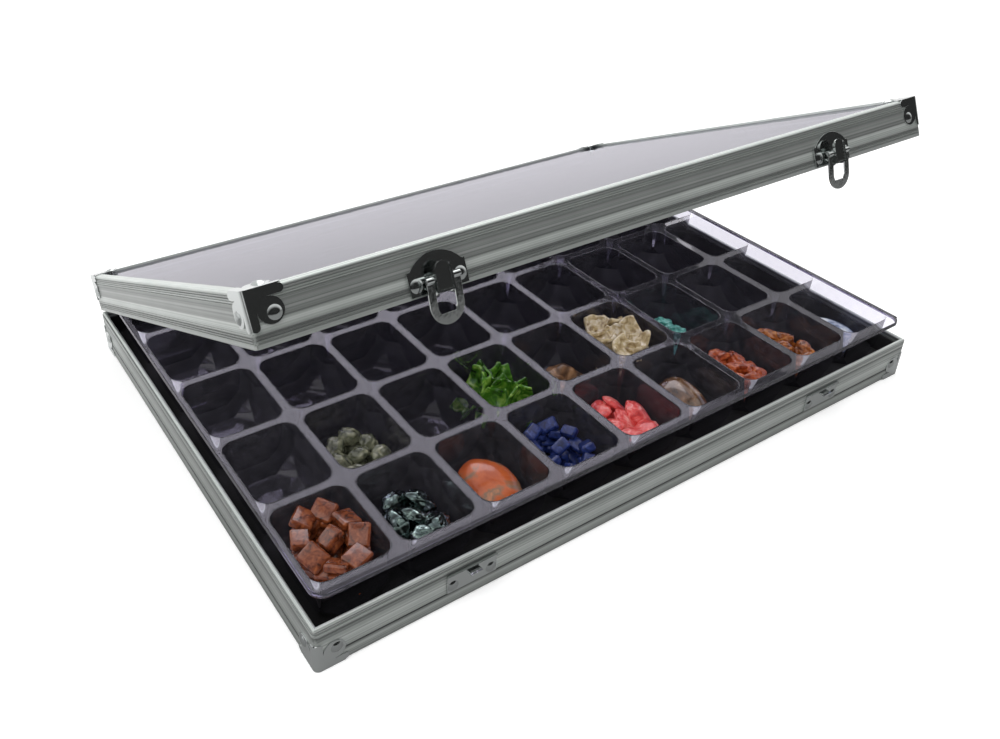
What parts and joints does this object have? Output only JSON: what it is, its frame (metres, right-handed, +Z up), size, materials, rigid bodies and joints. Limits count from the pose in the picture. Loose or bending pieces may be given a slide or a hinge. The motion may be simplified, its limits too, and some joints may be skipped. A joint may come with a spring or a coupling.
{
  "type": "mineral specimen box",
  "caption": "Aluminium-framed collection case with a hinged clear lid, corner caps, draw latches and a clear lift-out tray of cups that hold tumbled stones and shells.",
  "frame": {"origin": "middle of the footprint of the case, on the surface it stands on", "axes": "+X to the right along the front, +Y from the front to the hinged back, +Z up"},
  "size_m": [0.4538, 0.3418, 0.1897],
  "materials": {
    "rails": "satin anodised extrusion",
    "caps": "bright plated, stamped",
    "rivets": "plated domed heads",
    "hinge_steel": "plated",
    "latches": "bright plated, stamped",
    "floor": "dark hardboard",
    "foam": "black foam pad, flocked",
    "lining": "black felt",
    "lid_sheet": "clear acrylic",
    "tray_sheet": "clear vacuum-formed sheet",
    "goldstone": "polished, glittering",
    "hematite": "tumbled, metallic lustre",
    "orange_jasper": "polished",
    "lapis": "polished",
    "coral": "polished",
    "brown_agate": "polished, translucent",
    "carnelian": "rough",
    "amber": "polished",
    "sodalite": "polished",
    "labradorite": "tumbled",
    "green_shell": "pearly",
    "brown_stone": "rough",
    "shell": "pearly",
    "turquoise": "rough"
  },
  "bodies": {
    "base": {"base_front_rail": "rails", "base_back_rail": "rails", "base_left_rail": "rails", "base_right_rail": "rails", "floor_panel": "floor", "floor_pad": "foam", "wall_lining": "lining", "base_cap_front_left": "caps", "base_cap_front_right": "caps", "base_cap_back_left": "caps", "base_cap_back_right": "caps", "base_cap_rivets": "rivets", "keeper_left": "latches", "keeper_right": "latches", "keeper_rivets": "rivets", "hinge_base_leaf_left": "hinge_steel", "hinge_base_leaf_right": "hinge_steel", "hinge_pin_left": "hinge_steel", "hinge_pin_right": "hinge_steel", "hinge_base_rivets": "rivets"},
    "lid": {"lid_front_rail": "rails", "lid_back_rail": "rails", "lid_left_rail": "rails", "lid_right_rail": "rails", "lid_panel": "lid_sheet", "lid_cap_front_left": "caps", "lid_cap_front_right": "caps", "lid_cap_back_left": "caps", "lid_cap_back_right": "caps", "lid_cap_rivets": "rivets", "hinge_lid_leaf_left": "hinge_steel", "hinge_lid_leaf_right": "hinge_steel", "hinge_lid_rivets": "rivets", "latch_plate_left": "latches", "latch_plate_right": "latches", "latch_rivets": "rivets", "lever_pin_left": "hinge_steel", "lever_pin_right": "hinge_steel"},
    "lever_left": {"lever_left": "latches", "loop_pin_left": "hinge_steel"},
    "lever_right": {"lever_right": "latches", "loop_pin_right": "hinge_steel"},
    "loop_left": {"loop_left": "latches"},
    "loop_right": {"loop_right": "latches"},
    "tray": {"tray": "tray_sheet", "goldstone_chips": "goldstone", "hematite_tumbles": "hematite", "banded_pebble": "orange_jasper", "lapis_chips": "lapis", "coral_discs": "coral", "brown_pebble": "brown_agate", "carnelian_stones": "carnelian", "amber_pieces": "amber", "sodalite_pebble": "sodalite", "jade_tumbles": "labradorite", "green_shell_flakes": "green_shell", "brown_rock": "brown_stone", "pearl_shells": "shell", "turquoise_cluster": "turquoise"}
  },
  "joints": [
    {"name": "lid_hinge", "type": "hinge", "parent": "base", "child": "lid", "pos_m": [0, 0.1645, 0.0285], "axis": [-1, 0, 0], "range_deg": [-25, 155]},
    {"name": "lever_left_pivot", "type": "hinge", "parent": "lid", "child": "lever_left", "pos_m": [-0.137, -0.13445, 0.16967], "axis": [1, 0, 0], "range_deg": [0, 120]},
    {"name": "lever_right_pivot", "type": "hinge", "parent": "lid", "child": "lever_right", "pos_m": [0.137, -0.13445, 0.16967], "axis": [1, 0, 0], "range_deg": [0, 120]},
    {"name": "loop_left_swing", "type": "hinge", "parent": "lever_left", "child": "loop_left", "pos_m": [-0.137, -0.1337, 0.17506], "axis": [-1, 0, 0], "range_deg": [0, 127]},
    {"name": "loop_right_swing", "type": "hinge", "parent": "lever_right", "child": "loop_right", "pos_m": [0.137, -0.1337, 0.17506], "axis": [-1, 0, 0], "range_deg": [0, 127]},
    {"name": "tray_lift", "type": "slide", "parent": "base", "child": "tray", "axis": [0, 0, 1], "range_m": [0, 0.0035]}
  ],
  "couplings": [
    {"joint": "loop_left_swing", "follows": "lever_left_pivot", "ratio": 1.0583},
    {"joint": "loop_right_swing", "follows": "lever_right_pivot", "ratio": 1.0583}
  ]
}
